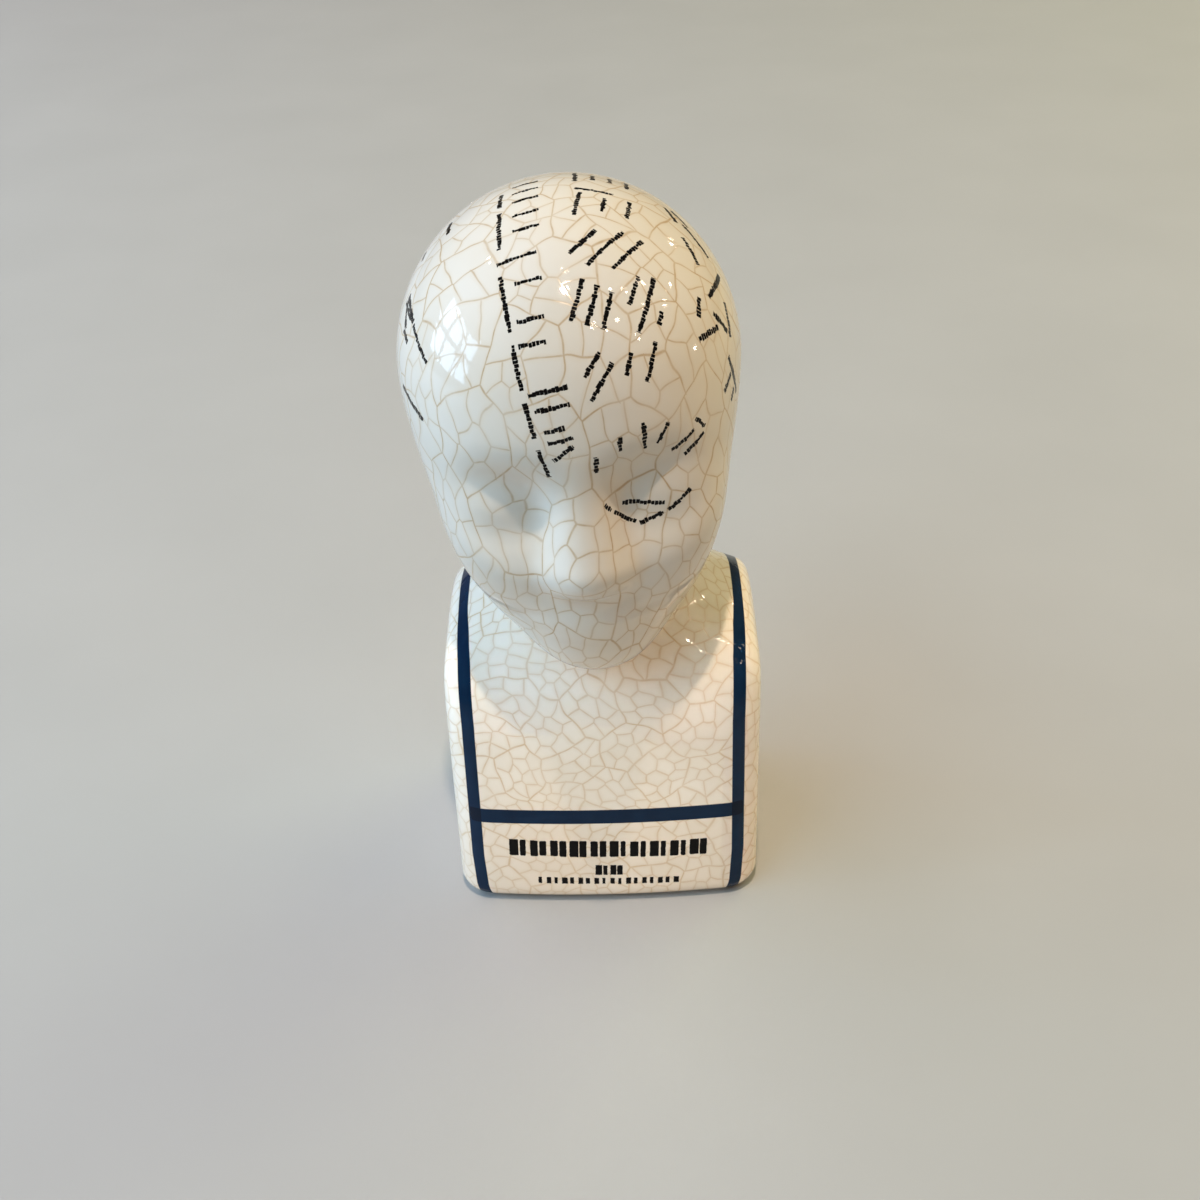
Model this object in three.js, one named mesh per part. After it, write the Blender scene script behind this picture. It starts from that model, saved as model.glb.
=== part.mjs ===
// Phrenology head: a small glazed ceramic bust, one hollow casting shown solid.
// Millimetres, Z up, face towards -Y, origin at the centre of its overall box, on the underside.
import * as THREE from "three";

// Base block, to the line of its shoulders
const BASE_WIDTH = 60.6;
const BASE_DEPTH = 47.5;
const BASE_HEIGHT = 60.1;
const FRONT_BULGE = 1.9;
const CORNER_RADIUS = 8.5;
const FOOT_RADIUS = 3.5;
const SHOULDER_RADIUS = 9.5;
const CHEST_RADIUS = 21.0;
const EDGE_SOFTNESS = 4.0;
const VAULT_SOFTNESS = 5.0;

// Head, from the bottom of the chin to the crown, and its place over the base
const HEAD_HEIGHT = 79.6;
const CHIN_BELOW_SHOULDERS = 0.3;
const HEAD_SIDE_SHIFT = -0.8;
const HEAD_BACK_SHIFT = 1.0;

// Head's lean to its right, turn and nod, in degrees
const HEAD_LEAN = -3.8;
const HEAD_TURN = 1.8;
const HEAD_NOD = 4.0;

// Neck, and how softly it flows into the base, under the chin and at the nape
const NECK_RADIUS_FOOT = 17.5;
const NECK_RADIUS_TOP = 18.5;
const NECK_DEPTH_IN_BASE = 14.6;
const NECK_BACK_SHIFT = 1.5;
const NECK_LEAN_BACK = 4.0;
const NECK_RISE_IN_HEAD = 19.9;
const NECK_FLOW = 16.0;
const CHIN_FLOW = 2.2;
const NAPE_FLOW = 16.0;
const NAPE_START = -10.0;
const NAPE_LENGTH = 32.0;

// Masses and carving of the head as shares of its height: centre, radii and softness
const CRANIUM = { centre: [0, 0.04, 0.629], radii: [0.386, 0.448, 0.38] };
const FACE = { centre: [0, -0.12, 0.378], radii: [0.31, 0.27, 0.33], flow: 0.14 };
const JAW = { centre: [0, -0.17, 0.182], radii: [0.21, 0.2, 0.17], flow: 0.12 };
const CHIN = { centre: [0, -0.29, 0.1], radii: [0.11, 0.09, 0.095], flow: 0.1 };
const CHEEK = { centre: [0.135, -0.255, 0.35], radii: [0.09, 0.08, 0.08], flow: 0.18 };
const SOCKET = { centre: [0.156, -0.462, 0.496], radii: [0.09, 0.108, 0.06], flow: 0.13 };
const LID = { centre: [0.152, -0.29, 0.482], radii: [0.062, 0.058, 0.044], flow: 0.07 };
const NOSE = { from: [0, -0.33, 0.565], to: [0, -0.428, 0.36], radii: [0.028, 0.052], flow: 0.09 };
const NOSE_WING = { centre: [0.046, -0.376, 0.335], radii: [0.036, 0.05, 0.034], flow: 0.06 };
const UPPER_LIP = { centre: [0, -0.35, 0.218], radii: [0.085, 0.046, 0.026], flow: 0.07 };
const LOWER_LIP = { centre: [0, -0.347, 0.174], radii: [0.07, 0.046, 0.026], flow: 0.06 };
const EAR = { centre: [0.3, 0.075, 0.43], radii: [0.046, 0.074, 0.12], flow: 0.04 };
const EAR_BOWL = { centre: [0.36, 0.065, 0.446], radii: [0.034, 0.044, 0.08], flow: 0.03 };
const EAR_LEAN = 11.5;
const MIDLINE_SOFTNESS = 0.03;

// Skin: columns round an upright axis, closer together at the face, and rows down each column
const COLUMNS = 68;
const FACE_CROWDING = 0.25;
const HEAD_ROWS = 42;
const CHIN_CROWDING = 0.12;
const CHEST_ROWS = 12;
const WALL_ROWS = 5;
const FOOT_ROWS = 4;

// Walk down an outline: stride, where it ends above the underside, and the width of a slope
const STRIDE = 0.4;
const UNDERSIDE_MARGIN = 0.01;
const SLOPE_WIDTH = 0.04;

// Worked out from the sizes above
const CHIN_PLACE = [HEAD_SIDE_SHIFT, HEAD_BACK_SHIFT, BASE_HEIGHT - CHIN_BELOW_SHOULDERS];
const NECK_FOOT = [0, NECK_BACK_SHIFT, BASE_HEIGHT - NECK_DEPTH_IN_BASE];
const NECK_TOP = [HEAD_SIDE_SHIFT, NECK_BACK_SHIFT + NECK_LEAN_BACK, CHIN_PLACE[2] + NECK_RISE_IN_HEAD];
const WALL_TOP = BASE_HEIGHT - CHEST_RADIUS;
const AXIS_X = HEAD_SIDE_SHIFT;
const AXIS_Y = NECK_BACK_SHIFT;

const radians = (degrees) => THREE.MathUtils.degToRad(degrees);
const { lerp, clamp, smoothstep } = THREE.MathUtils;

// Soft union of two distances
function blend(a, b, softness) {
  const share = Math.max(softness - Math.abs(a - b), 0) / softness;
  return Math.min(a, b) - (share * share * softness) / 4;
}

// Soft overlap of two distances
const meet = (a, b, softness) => -blend(-a, -b, softness);

// Soft cut of the first distance by the second
const carve = (a, b, softness) => -blend(-a, b, softness);

// Overlap of two faces with a round edge
function roundEdge(a, b, radius) {
  const p = a + radius;
  const q = b + radius;
  return Math.min(Math.max(p, q), 0) + Math.hypot(Math.max(p, 0), Math.max(q, 0)) - radius;
}

// Distance to an ellipsoid
function ellipsoid([x, y, z], { centre, radii }) {
  const u = (x - centre[0]) / radii[0];
  const v = (y - centre[1]) / radii[1];
  const w = (z - centre[2]) / radii[2];
  const reach = Math.hypot(u, v, w);
  const slope = Math.hypot(u / radii[0], v / radii[1], w / radii[2]);
  return (reach * (reach - 1)) / Math.max(slope, 1e-6);
}

// Distance to a round bar that tapers from one end to the other
function bar([x, y, z], { from, to, radii }) {
  const d = [to[0] - from[0], to[1] - from[1], to[2] - from[2]];
  const p = [x - from[0], y - from[1], z - from[2]];
  const share = (p[0] * d[0] + p[1] * d[1] + p[2] * d[2]) / (d[0] * d[0] + d[1] * d[1] + d[2] * d[2]);
  const t = clamp(share, 0, 1);
  return Math.hypot(p[0] - t * d[0], p[1] - t * d[1], p[2] - t * d[2]) - lerp(radii[0], radii[1], t);
}

// Cranium, face, jaw and chin
function skull(p) {
  let skin = ellipsoid(p, CRANIUM);
  for (const mass of [FACE, JAW, CHIN]) skin = blend(skin, ellipsoid(p, mass), mass.flow);
  return skin;
}

// Cheeks and the hollows with closed lids, the same on both sides
function eyes([x, y, z], skin) {
  const p = [Math.hypot(x, MIDLINE_SOFTNESS), y, z];
  const cheeks = blend(skin, ellipsoid(p, CHEEK), CHEEK.flow);
  const hollows = carve(cheeks, ellipsoid(p, SOCKET), SOCKET.flow);
  return blend(hollows, ellipsoid(p, LID), LID.flow);
}

// Blunt nose without nostrils
function nose([x, y, z], skin) {
  const bridge = blend(skin, bar([x, y, z], NOSE), NOSE.flow);
  const wings = ellipsoid([Math.hypot(x, MIDLINE_SOFTNESS), y, z], NOSE_WING);
  return blend(bridge, wings, NOSE_WING.flow);
}

// Faint lips
function lips(p, skin) {
  const upper = blend(skin, ellipsoid(p, UPPER_LIP), UPPER_LIP.flow);
  return blend(upper, ellipsoid(p, LOWER_LIP), LOWER_LIP.flow);
}

// Low ears, leaning back a little
function ears([x, y, z], skin) {
  const back = y - EAR.centre[1];
  const up = z - EAR.centre[2];
  const lean = radians(EAR_LEAN);
  const p = [
    Math.abs(x),
    EAR.centre[1] + back * Math.cos(lean) - up * Math.sin(lean),
    EAR.centre[2] + back * Math.sin(lean) + up * Math.cos(lean),
  ];
  const shell = carve(ellipsoid(p, EAR), ellipsoid(p, EAR_BOWL), EAR_BOWL.flow);
  return blend(skin, shell, EAR.flow);
}

const intoHead = new THREE.Matrix4()
  .makeTranslation(...CHIN_PLACE)
  .multiply(new THREE.Matrix4().makeRotationY(radians(HEAD_LEAN)))
  .multiply(new THREE.Matrix4().makeRotationZ(radians(HEAD_TURN)))
  .multiply(new THREE.Matrix4().makeRotationX(radians(HEAD_NOD)))
  .invert();

function head(x, y, z) {
  const p = new THREE.Vector3(x, y, z).applyMatrix4(intoHead).divideScalar(HEAD_HEIGHT).toArray();
  return ears(p, lips(p, nose(p, eyes(p, skull(p))))) * HEAD_HEIGHT;
}

// Block with round shoulders, a deeper round over chest and back, and a small round at the foot
function base(x, y, z) {
  const bulge = y < 0 ? FRONT_BULGE * Math.max(1 - ((2 * x) / BASE_WIDTH) ** 2, 0) : 0;
  const side = Math.abs(x) - BASE_WIDTH / 2 - EDGE_SOFTNESS / 4;
  const front = Math.abs(y) - BASE_DEPTH / 2 - EDGE_SOFTNESS / 4 - bulge;
  const top = z - BASE_HEIGHT;
  const shoulders = roundEdge(side, top, SHOULDER_RADIUS);
  const chest = roundEdge(front, top, CHEST_RADIUS);
  const upper = meet(shoulders, chest, VAULT_SOFTNESS);
  const block = meet(upper, roundEdge(side, front, CORNER_RADIUS), EDGE_SOFTNESS);
  return roundEdge(block, -z, FOOT_RADIUS);
}

// Signed distance to the whole bust
function bust(x, y, z) {
  const radii = [NECK_RADIUS_FOOT, NECK_RADIUS_TOP];
  const neck = bar([x, y, z], { from: NECK_FOOT, to: NECK_TOP, radii });
  const body = blend(base(x, y, z), neck, NECK_FLOW);
  const behind = smoothstep(y, NAPE_START, NAPE_START + NAPE_LENGTH);
  return blend(head(x, y, z), body, lerp(CHIN_FLOW, NAPE_FLOW, behind));
}

// Distance in an upright section through the axis, at a reach from it and a height
function section(angle, reach, z) {
  return bust(AXIS_X + reach * Math.sin(angle), AXIS_Y - reach * Math.cos(angle), z);
}

// Height of the crown over the axis, by halving
function crownHeight() {
  let inside = CHIN_PLACE[2];
  let outside = inside + 2 * HEAD_HEIGHT;
  while (outside - inside > UNDERSIDE_MARGIN / 100) {
    const middle = (inside + outside) / 2;
    if (section(0, 0, middle) < 0) inside = middle;
    else outside = middle;
  }
  return inside;
}

// Slope of the distance in a section
function slope(angle, reach, z) {
  const half = SLOPE_WIDTH / 2;
  const across = (section(angle, reach + half, z) - section(angle, reach - half, z)) / SLOPE_WIDTH;
  const up = (section(angle, reach, z + half) - section(angle, reach, z - half)) / SLOPE_WIDTH;
  const steepness = Math.hypot(across, up);
  return { across: across / steepness, up: up / steepness, steepness };
}

// Outline of one section, walked from the crown down to the underside
function outline(angle, crown) {
  const points = [{ reach: 0, z: crown, run: 0 }];
  let last = points[0];
  while (last.z > UNDERSIDE_MARGIN) {
    const way = slope(angle, last.reach, last.z);
    const next = { reach: last.reach + way.up * STRIDE, z: last.z - way.across * STRIDE };
    for (let i = 0; i < 3; i += 1) {
      const s = slope(angle, next.reach, next.z);
      const off = section(angle, next.reach, next.z) / s.steepness;
      next.reach -= s.across * off;
      next.z -= s.up * off;
    }
    next.run = last.run + Math.hypot(next.reach - last.reach, next.z - last.z);
    points.push(next);
    last = next;
  }
  return points;
}

const indexAt = (points, height) => points.findIndex((p) => p.z <= height);

// Run at which the outline is narrowest between head and shoulders
function neckRun(points) {
  const widest = indexAt(points, CHIN_PLACE[2] + HEAD_HEIGHT / 2);
  const between = points.slice(widest, indexAt(points, WALL_TOP));
  return between.reduce((narrow, p) => (p.reach < narrow.reach ? p : narrow)).run;
}

// Point of the outline at a run
function pointAt(points, run) {
  const next = Math.max(points.findIndex((p) => p.run >= run), 1);
  const a = points[next - 1];
  const b = points[next];
  const t = (run - a.run) / (b.run - a.run);
  return { reach: lerp(a.reach, b.reach, t), z: lerp(a.z, b.z, t) };
}

// One column of skin points below the crown
function column(angle, crown) {
  const points = outline(angle, crown);
  const wallRun = points[indexAt(points, WALL_TOP)].run;
  const footRun = points[indexAt(points, FOOT_RADIUS)].run;
  const marks = [0, neckRun(points), wallRun, footRun, points[points.length - 1].run];
  const skin = [];
  [HEAD_ROWS, CHEST_ROWS, WALL_ROWS, FOOT_ROWS].forEach((rows, stretch) => {
    for (let row = 1; row <= rows; row += 1) {
      const crowding = stretch === 0 ? CHIN_CROWDING * Math.sin((Math.PI * row) / rows) : 0;
      const p = pointAt(points, lerp(marks[stretch], marks[stretch + 1], row / rows + crowding));
      skin.push(new THREE.Vector3(AXIS_X + p.reach * Math.sin(angle), AXIS_Y - p.reach * Math.cos(angle), p.z));
    }
  });
  skin[skin.length - 1].z = 0;
  return skin;
}

// Crown, columns and the middle of the underside, with the overall box centred on the origin
function skinPoints() {
  const crown = crownHeight();
  const points = [new THREE.Vector3(AXIS_X, AXIS_Y, crown)];
  for (let i = 0; i < COLUMNS; i += 1) {
    const turn = (2 * Math.PI * i) / COLUMNS;
    points.push(...column(turn - FACE_CROWDING * Math.sin(turn), crown));
  }
  points.push(new THREE.Vector3(0, 0, 0));
  const middle = new THREE.Box3().setFromPoints(points).getCenter(new THREE.Vector3()).setZ(0);
  for (const p of points) p.sub(middle);
  return points;
}

// Closed skin: a fan at the crown, strips down the columns and a fan over the flat underside
function bustGeometry() {
  const points = skinPoints();
  const lastRow = HEAD_ROWS + CHEST_ROWS + WALL_ROWS + FOOT_ROWS;
  const underside = points.length - 1;
  const at = (row, i) => row + (i % COLUMNS) * lastRow;
  const faces = [];
  for (let i = 0; i < COLUMNS; i += 1) {
    faces.push(0, at(1, i), at(1, i + 1));
    faces.push(underside, at(lastRow, i + 1), at(lastRow, i));
    for (let row = 1; row < lastRow; row += 1) {
      faces.push(at(row, i), at(row + 1, i), at(row + 1, i + 1));
      faces.push(at(row, i), at(row + 1, i + 1), at(row, i + 1));
    }
  }
  const geometry = new THREE.BufferGeometry().setFromPoints(points);
  geometry.setIndex(faces);
  geometry.computeVertexNormals();
  return geometry;
}

const glaze = new THREE.MeshStandardMaterial({ color: 0xe6ddcb, roughness: 0.15, metalness: 0 });

const bustMesh = new THREE.Mesh(bustGeometry(), glaze);
bustMesh.name = "phrenology_bust";

const phrenologyHead = new THREE.Group();
phrenologyHead.add(bustMesh);

export default phrenologyHead;
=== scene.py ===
"""Phrenology head: a small glazed bust with a crackle glaze, navy bands and rows of black strokes."""

from math import cos, pi, radians, sin

import bpy
import numpy as np
from mathutils import Matrix, Vector, noise


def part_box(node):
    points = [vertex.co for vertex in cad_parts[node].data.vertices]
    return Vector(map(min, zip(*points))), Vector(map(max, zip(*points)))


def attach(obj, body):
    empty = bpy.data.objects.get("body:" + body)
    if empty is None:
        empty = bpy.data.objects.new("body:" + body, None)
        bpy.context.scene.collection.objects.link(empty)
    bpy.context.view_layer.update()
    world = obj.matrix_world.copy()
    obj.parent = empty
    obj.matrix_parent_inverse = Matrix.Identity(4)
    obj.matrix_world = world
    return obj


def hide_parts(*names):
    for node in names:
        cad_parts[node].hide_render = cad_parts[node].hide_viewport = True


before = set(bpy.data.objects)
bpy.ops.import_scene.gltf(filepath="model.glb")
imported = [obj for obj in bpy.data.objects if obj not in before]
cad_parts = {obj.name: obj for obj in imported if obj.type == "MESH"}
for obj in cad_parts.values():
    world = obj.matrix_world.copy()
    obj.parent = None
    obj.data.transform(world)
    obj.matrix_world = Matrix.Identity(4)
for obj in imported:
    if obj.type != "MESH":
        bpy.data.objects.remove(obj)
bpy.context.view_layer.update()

MM = 0.001
STEEPNESS_FLOOR = 1e-6

# Base block in millimetres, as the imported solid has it: centre on x = 0 and y = 0, face towards -Y
BASE_WIDTH = 60.6
BASE_DEPTH = 47.5
BASE_HEIGHT = 60.1
FRONT_BULGE = 1.9
CORNER_RADIUS = 8.5
FOOT_RADIUS = 3.5
SHOULDER_RADIUS = 9.5
CHEST_RADIUS = 21.0
EDGE_SOFTNESS = 4.0
VAULT_SOFTNESS = 5.0

# Head, from the bottom of the chin to the crown, its place over the base, and its pose in degrees
HEAD_HEIGHT = 79.6
CHIN_BELOW_SHOULDERS = 0.3
HEAD_SIDE_SHIFT = -0.8
HEAD_BACK_SHIFT = 1.0
HEAD_LEAN = -3.8
HEAD_TURN = 1.8
HEAD_NOD = 4.0

# Neck, and how softly it flows into the base, under the chin and at the nape
NECK_RADII = (17.5, 18.5)
NECK_DEPTH_IN_BASE = 14.6
NECK_BACK_SHIFT = 1.5
NECK_LEAN_BACK = 4.0
NECK_RISE_IN_HEAD = 19.9
NECK_FLOW = 16.0
CHIN_FLOW = 2.2
NAPE_FLOW = 16.0
NAPE_START = -10.0
NAPE_LENGTH = 32.0

# Masses and carving of the head as shares of its height: centre, radii and softness
CRANIUM = ((0, 0.04, 0.629), (0.386, 0.448, 0.38), 0)
FACE = ((0, -0.12, 0.378), (0.31, 0.27, 0.33), 0.14)
JAW = ((0, -0.17, 0.182), (0.21, 0.2, 0.17), 0.12)
CHIN = ((0, -0.29, 0.1), (0.11, 0.09, 0.095), 0.1)
CHEEK = ((0.135, -0.255, 0.35), (0.09, 0.08, 0.08), 0.18)
SOCKET = ((0.156, -0.462, 0.496), (0.09, 0.108, 0.06), 0.13)
LID = ((0.152, -0.29, 0.482), (0.062, 0.058, 0.044), 0.07)
NOSE = ((0, -0.33, 0.565), (0, -0.428, 0.36), (0.028, 0.052), 0.09)
NOSE_WING = ((0.046, -0.376, 0.335), (0.036, 0.05, 0.034), 0.06)
UPPER_LIP = ((0, -0.35, 0.218), (0.085, 0.046, 0.026), 0.07)
LOWER_LIP = ((0, -0.347, 0.174), (0.07, 0.046, 0.026), 0.06)
EAR = ((0.3, 0.075, 0.43), (0.046, 0.074, 0.12), 0.04)
EAR_BOWL = ((0.36, 0.065, 0.446), (0.034, 0.044, 0.08), 0.03)
EAR_LEAN = 11.5
MIDLINE_SOFTNESS = 0.03

# Skin: columns round an upright axis, closer together at the face, and rows down each column
COLUMNS = 288
FACE_CROWDING = 0.25
HEAD_ROWS = 186
CHEST_ROWS = 68
WALL_ROWS = 44
FOOT_ROWS = 16
CHIN_CROWDING = 0.12
STRIDE = 0.4
SETTLE_STEPS = 3
SEARCH_STEPS = 40
UNDERSIDE_MARGIN = 0.01
CROWN_TOLERANCE = 0.0001
SLOPE_WIDTH = 0.04

# Worked out from the sizes above
CHIN_PLACE = np.array([HEAD_SIDE_SHIFT, HEAD_BACK_SHIFT, BASE_HEIGHT - CHIN_BELOW_SHOULDERS])
NECK_FOOT = (0, NECK_BACK_SHIFT, BASE_HEIGHT - NECK_DEPTH_IN_BASE)
NECK_TOP = (HEAD_SIDE_SHIFT, NECK_BACK_SHIFT + NECK_LEAN_BACK, CHIN_PLACE[2] + NECK_RISE_IN_HEAD)
WALL_TOP = BASE_HEIGHT - CHEST_RADIUS
AXIS = (HEAD_SIDE_SHIFT, NECK_BACK_SHIFT)

# Navy bands: how far a band's centre line lies from the middle at a few heights, and the bands' widths
RAIL_HEIGHTS = (0.0, 4.0, 12.0, 44.0, 55.0, 58.2, 59.5)
RAIL_PLACES = (24.6, 25.5, 25.9, 25.66, 25.97, 26.36, 26.9)
RAIL_WIDTH = 2.45
CROSS_BAND_HEIGHT = 22.7
CROSS_BAND_WIDTH = 3.5
CROSS_BAND_OVERHANG = 1.0

# Styles of stroke rows: height, pitch, shortest stroke's share, weight, pairing and corner roundness
HEAD_STYLE = (1.0, 0.64, 0.5, 1.12, 0.0, 0.22)
FAR_STYLE = (1.25, 0.64, 0.6, 1.1, 0.0, 0.22)
TITLE_STYLE = (4.3, 1.99, 0.9, 0.96, 0.06, 0.5)
SHORT_STYLE = (2.75, 1.45, 0.9, 0.96, 0.05, 0.1)
SUBTITLE_STYLE = (1.75, 1.6, 0.86, 0.72, 0.05, 0.1)

# Title rows on the front of the base: heights, side shifts, lengths and styles, and their common slope
TITLE_ROWS = (
    (14.2, 0.2, 39.8, TITLE_STYLE),
    (8.6, 0.2, 5.8, SHORT_STYLE),
    (5.7, -0.1, 28.9, SUBTITLE_STYLE),
)
TITLE_SLOPE = -0.026

# Lines of rows end to end on the head: their places, sideways and over the crown in degrees, and gaps
MIDDLE_LINES = (
    ((-16, 101), (-17, 86), (-17, 63)),
    ((-17, 56), (-14, 34), (-12, 18), (-9.6, 5), (-7, -7)),
)
MIDDLE_GAP = 2.0
LOW_LINE = ((6, -15), (8, -19), (14, -26), (22, -25), (31, -22))
LOW_GAP = 0.9
FAR_LINE = ((-62, 78), (-55, 52), (-46, 28))
FAR_GAP = 0.8

# Groups of short rows beside the middle lines: first place, step to the next, turn and lengths
MIDDLE_GROUPS = (
    ((-8.2, 103), (0, -7), 6, (4.6, 4.6, 4.6)),
    ((-8.2, 80), (0, -8), 6, (4.6, 4.6)),
    ((-8.2, 51), (0, 0), 6, (4.6,)),
    ((-8.2, 39), (0, -7), 6, (4.6, 4.6)),
    ((-11.5, 60), (0, 0), 8, (6.9,)),
    ((-5.1, 19.2), (0.7, -4.5), 9, (6.6, 5.9)),
    ((-4.4, 8.7), (1.3, -3.0), 10, (3.5, 4.3)),
    ((-2.8, 2.1), (0, 0), 35, (4.3,)),
)

# Groups of rows on the left half of the head as the head sees it
SHOWN_GROUPS = (
    ((8, 107), (5.7, 0), -90, (7.2, 3.9, 3.6, 5.0)),
    ((14, 92.5), (0, 0), -8, (6.7,)),
    ((8.3, 83), (8.3, 0), -100, (7.8, 4.7, 5.9)),
    ((8.8, 63.5), (6.8, -2), -132, (7.1, 10.4, 9.1)),
    ((5.3, 43.3), (4.1, -1.9), -110, (7.8, 7.3, 6.7)),
    ((22.3, 45.9), (3.6, -4.6), -116, (5.8, 10.6, 2.5)),
    ((7.3, 24.9), (2.1, -4.8), -127, (4.7, 7.0)),
    ((17.5, 23.8), (6.9, -0.3), -114, (3.8, 6.7)),
    ((12.3, 2.2), (7.1, 0.2), -91, (2.7, 5.0)),
    ((5.4, -2.5), (0, 0), -93, (3.1,)),
    ((25.1, 1.2), (0, 0), -129, (4.0,)),
    ((31.8, -5.3), (3.7, -3.8), -160, (5.3, 5.1)),
    ((38.7, -2.4), (0, 0), -54, (3.3,)),
    ((17, -20.9), (0, 0), -11, (7.3,)),
)

# Groups of rows on the far sides
FAR_GROUPS = (
    ((41, 97), (6.6, -23), -60, (4.6, 5.8)),
    ((51.6, 89.5), (0, 0), -33, (7.3,)),
    ((58.3, 60.5), (0, 0), -128, (9.5,)),
    ((45.9, 42.2), (0, 0), -106, (3.8,)),
    ((57.3, 36.4), (0, 0), -33, (5.3,)),
    ((49, 30.8), (0, 0), 16, (6.8,)),
    ((63.6, 39.8), (0, 0), -89, (6.1,)),
    ((62.2, 1.7), (0, 0), -74, (8.4,)),
    ((56.6, 2.5), (2.6, -11.3), -155, (4.2, 2.4)),
    ((44.9, 101), (0, 0), -34, (4.4,)),
    ((-36.6, 99), (0, 0), -95, (5.2,)),
    ((-49.5, 100), (0, 0), -115, (2.6,)),
    ((-60.5, 66), (0, 0), -99, (5.9,)),
    ((-56.8, 65), (0, 0), -74, (7.8,)),
    ((-61, 50), (0, 0), -62, (3.7,)),
    ((-59, 8), (0, 0), -20, (9.8,)),
)

# Reach of a row past its edge and past the skin's plane, and a distance beyond every row, band and crack
ROW_MARGIN = 1.0
ROW_DEPTH_MARGIN = 1.0
FAR = 50.0

# Crackle: spacing of the cells at the crown and on the base, for each of three levels
CRACK_SPACINGS = ((14.0, 11.0), (7.4, 40.0), (4.4, 3.1))

# Crackle: height where the spacing starts to change, over how much, and stretch of the head's cells
CRACK_CHANGE_HEIGHT = 120.0
CRACK_CHANGE_RUN = 60.0
CRACK_STRETCH = 1.45
CRACK_STRETCH_RUN = 6.0

# Crackle: wavelengths and amounts by which lines wander, and how seeds are drawn and evened out
CRACK_WANDER = ((12.0, 2.6), (3.6, 0.6))
SEED = 11
SEED_DRAWS = 30000
SEED_GAP = 0.75
RELAX_ROUNDS = 7
AREA_FLOOR = 1e-9
OUT_OF_REACH = 9e3

# Camera: pitch down, turn, distance, target in bust coordinates, roll and focal length in 1200 px pictures
CAMERA_PITCH = 33.83
CAMERA_TURN = 0.994
CAMERA_DISTANCE = 313.97
CAMERA_TARGET = (-0.002, -10.0, 63.19)
CAMERA_ROLL = -2.069
FOCAL_PIXELS = 1656.6
PICTURE_PIXELS = 1200
SENSOR = 36.0
CLIP_START = 0.01


# Soft union of two distances
def blend(a, b, softness):
    share = np.maximum(softness - np.abs(a - b), 0) / softness
    return np.minimum(a, b) - share * share * softness / 4


# Soft overlap of two distances
def meet(a, b, softness):
    return -blend(-a, -b, softness)


# Soft cut of the first distance by the second
def carve(a, b, softness):
    return -blend(-a, b, softness)


# Overlap of two faces with a round edge
def round_edge(a, b, radius):
    p = a + radius
    q = b + radius
    return np.minimum(np.maximum(p, q), 0) + np.hypot(np.maximum(p, 0), np.maximum(q, 0)) - radius


# Length of a vector from its parts
def length(*parts):
    return np.sqrt(sum(part * part for part in parts))


# Distance to an ellipsoid
def ellipsoid(x, y, z, centre, radii):
    u, v, w = ((p - c) / r for p, c, r in zip((x, y, z), centre, radii))
    reach = length(u, v, w)
    slope = length(u / radii[0], v / radii[1], w / radii[2])
    return reach * (reach - 1) / np.maximum(slope, STEEPNESS_FLOOR)


# Distance to a round bar that tapers from one end to the other
def bar(x, y, z, start, end, radii):
    run = [e - s for s, e in zip(start, end)]
    p = [x - start[0], y - start[1], z - start[2]]
    share = sum(a * b for a, b in zip(p, run)) / sum(b * b for b in run)
    t = np.clip(share, 0, 1)
    return length(*(a - t * b for a, b in zip(p, run))) - (radii[0] + (radii[1] - radii[0]) * t)


# Skin with one more soft ellipsoid
def add(skin, x, y, z, mass):
    return blend(skin, ellipsoid(x, y, z, mass[0], mass[1]), mass[2])


# Cranium, face, jaw and chin
def skull(x, y, z):
    skin = ellipsoid(x, y, z, CRANIUM[0], CRANIUM[1])
    for mass in (FACE, JAW, CHIN):
        skin = add(skin, x, y, z, mass)
    return skin


# Cheeks and the hollows with closed lids, the same on both sides
def eyes(x, y, z, skin):
    side = length(x, MIDLINE_SOFTNESS)
    cheeks = add(skin, side, y, z, CHEEK)
    hollows = carve(cheeks, ellipsoid(side, y, z, SOCKET[0], SOCKET[1]), SOCKET[2])
    return add(hollows, side, y, z, LID)


# Blunt nose without nostrils, and faint lips
def nose_and_lips(x, y, z, skin):
    skin = blend(skin, bar(x, y, z, *NOSE[:3]), NOSE[3])
    skin = add(skin, length(x, MIDLINE_SOFTNESS), y, z, NOSE_WING)
    skin = add(skin, x, y, z, UPPER_LIP)
    return add(skin, x, y, z, LOWER_LIP)


# Low ears, leaning back a little
def ears(x, y, z, skin):
    back = y - EAR[0][1]
    up = z - EAR[0][2]
    c = cos(radians(EAR_LEAN))
    s = sin(radians(EAR_LEAN))
    ear = (np.abs(x), EAR[0][1] + back * c - up * s, EAR[0][2] + back * s + up * c)
    shell = carve(ellipsoid(*ear, *EAR[:2]), ellipsoid(*ear, *EAR_BOWL[:2]), EAR_BOWL[2])
    return blend(skin, shell, EAR[2])


# Head's own axes as columns, from its lean, turn and nod
HEAD_POSE = np.array(
    Matrix.Rotation(radians(HEAD_LEAN), 3, "Y")
    @ Matrix.Rotation(radians(HEAD_TURN), 3, "Z")
    @ Matrix.Rotation(radians(HEAD_NOD), 3, "X")
)


# Distance to the head, worked out in its own axes as shares of its height
def head(x, y, z):
    p = (np.stack([x, y, z], -1) - CHIN_PLACE) @ HEAD_POSE / HEAD_HEIGHT
    u, v, w = p[..., 0], p[..., 1], p[..., 2]
    return ears(u, v, w, nose_and_lips(u, v, w, eyes(u, v, w, skull(u, v, w)))) * HEAD_HEIGHT


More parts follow.
